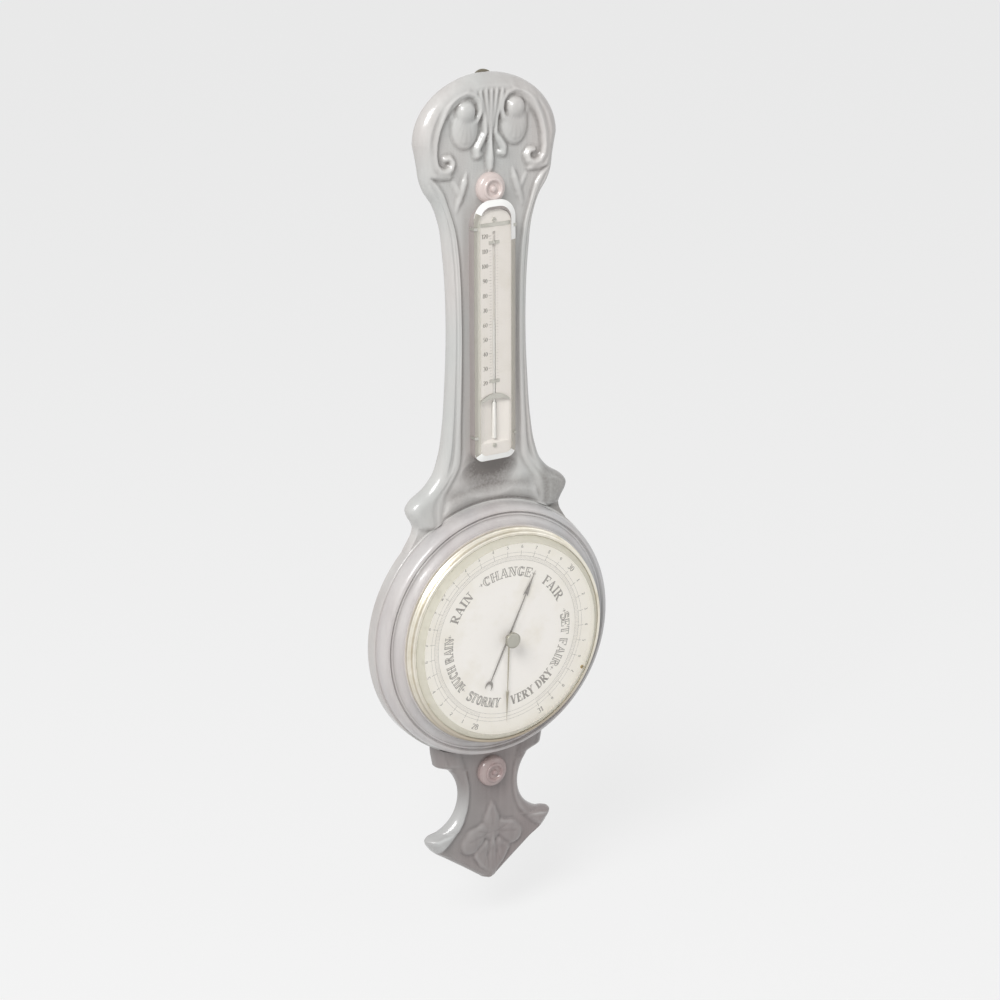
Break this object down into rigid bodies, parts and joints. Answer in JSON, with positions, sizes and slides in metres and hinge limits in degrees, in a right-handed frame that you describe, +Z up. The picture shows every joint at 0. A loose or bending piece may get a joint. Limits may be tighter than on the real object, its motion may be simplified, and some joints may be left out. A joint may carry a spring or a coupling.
{
  "type": "banjo barometer with thermometer",
  "caption": "Carved wooden banjo wall barometer: aneroid dial in a turned drum with bevelled glass, boxed thermometer on the neck, rosettes, scroll-carved head.",
  "frame": {"origin": "centre of the hanging plate's hole, on the wall plane", "axes": "+Z up the wall, the dial faces -Y, +X to the right seen from the front"},
  "size_m": [0.2528, 0.0521, 0.7897],
  "materials": {
    "wood": "dark carved hardwood, french polished",
    "box_wood": "dark polished hardwood",
    "boss_wood": "reddish turned hardwood, polished",
    "pale_brass": "pale lacquered brass",
    "brass": "lacquered brass",
    "steel": "brushed steel",
    "blued_steel": "blued steel",
    "cast_iron": "black painted casting",
    "dial_enamel": "cream dial, printed",
    "bevelled_glass": "clear, bevelled and polished",
    "tube_glass": "clear drawn glass",
    "liquid": "mercury-like liquid"
  },
  "bodies": {
    "case": {"head_board": "wood", "neck_board": "wood", "round_body": "wood", "tail_board": "wood", "drum_ring": "wood", "drum_screws": "steel", "top_boss": "boss_wood", "bottom_boss": "boss_wood", "hanger_plate": "brass", "hanger_screws": "steel", "rear_cover": "brass", "rear_cover_screws": "steel", "thermometer_box": "box_wood", "box_screws": "steel", "thermometer_scale": "dial_enamel", "scale_screws": "brass", "thermometer_tube": "tube_glass", "thermometer_liquid": "liquid", "tube_clips": "brass", "bulb_guard": "dial_enamel", "thermometer_glass": "bevelled_glass", "glass_clips": "brass", "bezel": "pale_brass", "dial_glass": "bevelled_glass", "glass_ring": "pale_brass", "dial_plate": "dial_enamel", "dial_screws": "brass", "movement_can": "brass", "can_screws": "steel", "base_plate": "brass", "base_screws": "steel", "capsule_body": "brass", "main_bridge": "cast_iron", "bridge_pivot_screws": "steel", "shaft_brackets": "brass", "bracket_screws": "steel", "lower_arbor_bar": "brass", "arbor_bridge": "brass", "bridge_pillars": "brass", "bridge_screws": "steel", "hairspring": "blued_steel", "hairspring_stud": "brass"},
    "hand_arbor_body": {"hand_arbor": "steel", "indicating_hand": "blued_steel"},
    "rocking_body": {"rocking_shaft": "steel"},
    "chain_body": {"chain": "steel"},
    "lever_body": {"mainspring": "steel", "main_lever": "brass", "lever_screws": "steel"},
    "link_body": {"connecting_link": "steel"},
    "post_body": {"capsule_post": "steel", "capsule_pin": "steel"},
    "set_hand_body": {"set_hand": "pale_brass", "set_hand_spindle": "pale_brass", "set_hand_knob": "pale_brass", "set_hand_washer": "steel"},
    "adjuster_body": {"adjusting_screw": "brass"}
  },
  "joints": [
    {"name": "hand_turn", "type": "hinge", "parent": "case", "child": "hand_arbor_body", "pos_m": [0, -0.03, -0.511], "axis": [0, 1, 0], "range_deg": [-182, 130]},
    {"name": "shaft_rock", "type": "hinge", "parent": "case", "child": "rocking_body", "pos_m": [0.039, -0.011, -0.511], "axis": [0, 0, -1], "range_deg": [-17.4, 12.43]},
    {"name": "chain_run", "type": "slide", "parent": "case", "child": "chain_body", "axis": [-1, 0, 0], "range_m": [-0.00486, 0.00347]},
    {"name": "lever_flex", "type": "hinge", "parent": "case", "child": "lever_body", "pos_m": [-0.041, -0.01532, -0.511], "axis": [0, 0, 1], "range_deg": [-0.68, 0.48]},
    {"name": "link_pivot", "type": "hinge", "parent": "lever_body", "child": "link_body", "pos_m": [0.036, -0.02152, -0.503], "axis": [0, 0, 1], "range_deg": [-0.48, 0.68]},
    {"name": "capsule_breathe", "type": "slide", "parent": "case", "child": "post_body", "axis": [0, 1, 0], "range_m": [-0.0004852, 0.0003466]},
    {"name": "set_hand_turn", "type": "hinge", "parent": "case", "child": "set_hand_body", "pos_m": [0, -0.045, -0.511], "axis": [0, 1, 0], "continuous": true},
    {"name": "adjuster_turn", "type": "hinge", "parent": "case", "child": "adjuster_body", "pos_m": [-0.038, -0.003, -0.511], "axis": [0, 1, 0], "range_deg": [-360, 360]}
  ],
  "couplings": [
    {"joint": "shaft_rock", "follows": "hand_turn", "ratio": 0.09375},
    {"joint": "chain_run", "follows": "hand_turn", "m_per_rad": 0.0015},
    {"joint": "lever_flex", "follows": "hand_turn", "ratio": 0.0036526},
    {"joint": "link_pivot", "follows": "hand_turn", "ratio": -0.0036526},
    {"joint": "capsule_breathe", "follows": "hand_turn", "m_per_rad": 0.00014976}
  ]
}
